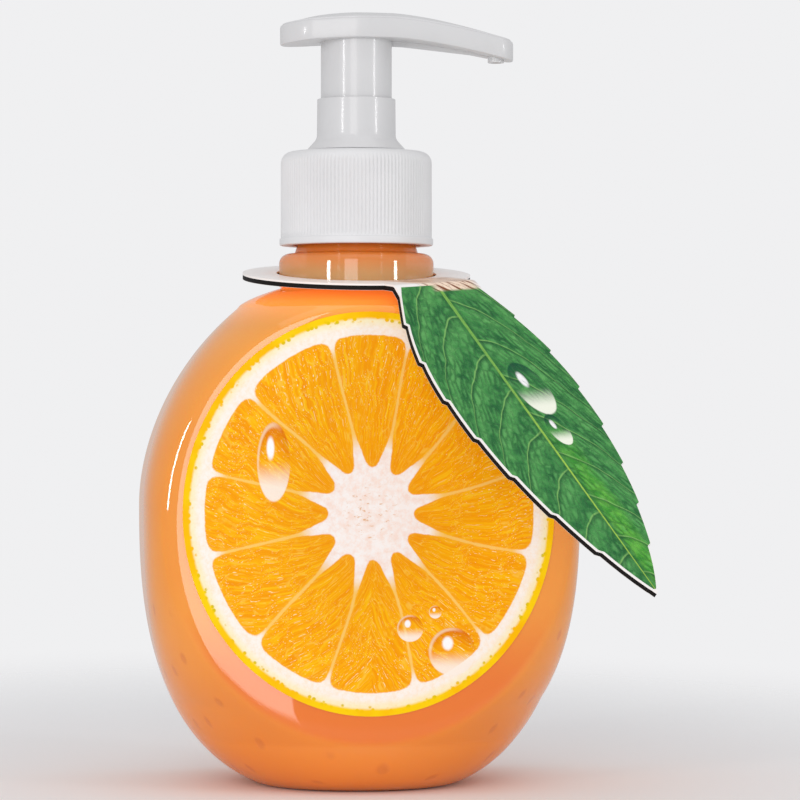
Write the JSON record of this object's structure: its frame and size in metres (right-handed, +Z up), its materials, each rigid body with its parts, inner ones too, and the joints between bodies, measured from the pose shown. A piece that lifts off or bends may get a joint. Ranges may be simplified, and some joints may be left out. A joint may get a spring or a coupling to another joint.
{
  "type": "liquid soap bottle",
  "caption": "Rounded flat-faced liquid soap bottle with an oval fruit-slice label, a leaf-shaped neck tag and a screw-on lotion pump.",
  "frame": {"origin": "on the plane that the bottle stands on, under the pump's axis", "axes": "+Z up along the pump's axis, front label towards -Y, spout towards +X"},
  "size_m": [0.1017, 0.1028, 0.1688],
  "materials": {
    "clear_bottle": "clear glossy tinted by the soap",
    "soap": "opaque pearly liquid",
    "label_paper": "printed film, glossy",
    "label_yellow": "printed ink, glossy",
    "label_orange": "printed ink, glossy",
    "tag_white": "coated card, satin",
    "tag_dark": "dark backing card, matt",
    "leaf_green": "printed ink under varnish",
    "white_cap": "satin white",
    "white_pump": "glossy white",
    "pump_inner": "plain natural",
    "gasket": "plain",
    "ball_steel": "polished",
    "spring_steel": "drawn wire",
    "white_cover": "glossy white"
  },
  "bodies": {
    "bottle": {"bottle_shell": "clear_bottle", "soap_fill": "soap", "label_film": "label_paper", "label_rind": "label_yellow", "label_pulp": "label_orange", "tag_card": "tag_white", "tag_backing": "tag_dark", "leaf_print": "leaf_green"},
    "pump": {"collar": "white_pump", "pump_housing": "pump_inner", "neck_gasket": "gasket", "dip_tube": "pump_inner"},
    "closure": {"closure_cap": "white_cap"},
    "plunger": {"piston_seat": "pump_inner", "return_spring": "spring_steel"},
    "head": {"stem": "pump_inner", "piston": "pump_inner", "actuator_head": "white_pump", "head_cover": "white_cover"},
    "ball": {"inlet_ball": "ball_steel"}
  },
  "joints": [
    {"name": "pump_rise", "type": "slide", "parent": "bottle", "child": "pump", "axis": [0, 0, 1], "range_m": [0, 0.00635]},
    {"name": "closure_turn", "type": "hinge", "parent": "pump", "child": "closure", "pos_m": [0, 0, 0.128], "axis": [0, 0, 1], "range_deg": [0, 540]},
    {"name": "head_press", "type": "slide", "parent": "pump", "child": "plunger", "axis": [0, 0, -1], "range_m": [0, 0.009], "stiffness_N_per_m": 900, "springref_m": -0.01, "deforming": ["return_spring"]},
    {"name": "head_turn", "type": "hinge", "parent": "plunger", "child": "head", "pos_m": [0, 0, 0.16], "axis": [0, 0, 1], "continuous": true},
    {"name": "ball_lift", "type": "slide", "parent": "pump", "child": "ball", "axis": [0, 0, 1], "range_m": [0, 0.0016]}
  ],
  "couplings": [
    {"joint": "closure_turn", "follows": "pump_rise", "rad_per_m": 1484}
  ]
}
